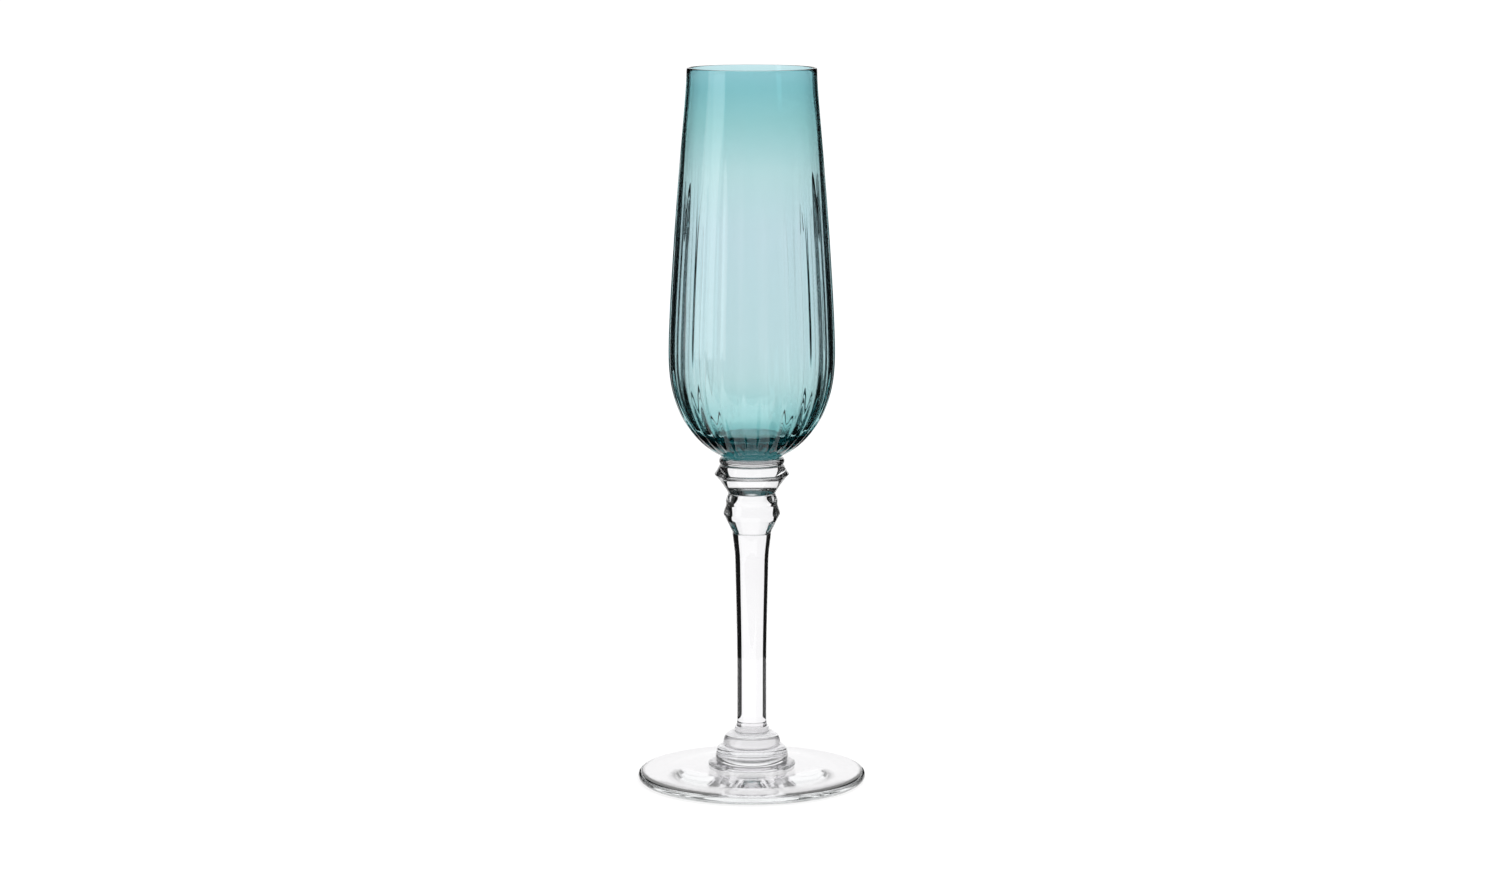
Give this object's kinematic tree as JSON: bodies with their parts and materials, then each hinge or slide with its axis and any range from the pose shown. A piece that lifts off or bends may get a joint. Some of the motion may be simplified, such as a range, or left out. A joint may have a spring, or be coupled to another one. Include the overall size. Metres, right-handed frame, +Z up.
{
  "type": "champagne flute",
  "caption": "Champagne flute: a tall ribbed teal glass bowl on a clear knopped stem with a round foot, for serving sparkling wine.",
  "frame": {"origin": "on the flute's axis, at the level of the surface that the foot stands on", "axes": "+Z up along the axis of bowl, stem and foot, towards the rim; +X and +Y are across, through two of the ribs"},
  "size_m": [0.077, 0.077, 0.24],
  "materials": {
    "teal_glass": "polished, tinted through the glass, darker at the thick base",
    "clear_glass": "polished, colourless"
  },
  "bodies": {
    "root": {"bowl": "teal_glass", "merese": "clear_glass", "upper_knop": "clear_glass", "lower_knop": "clear_glass", "stem_shaft": "clear_glass", "base_collar": "clear_glass", "foot": "clear_glass"}
  },
  "joints": []
}
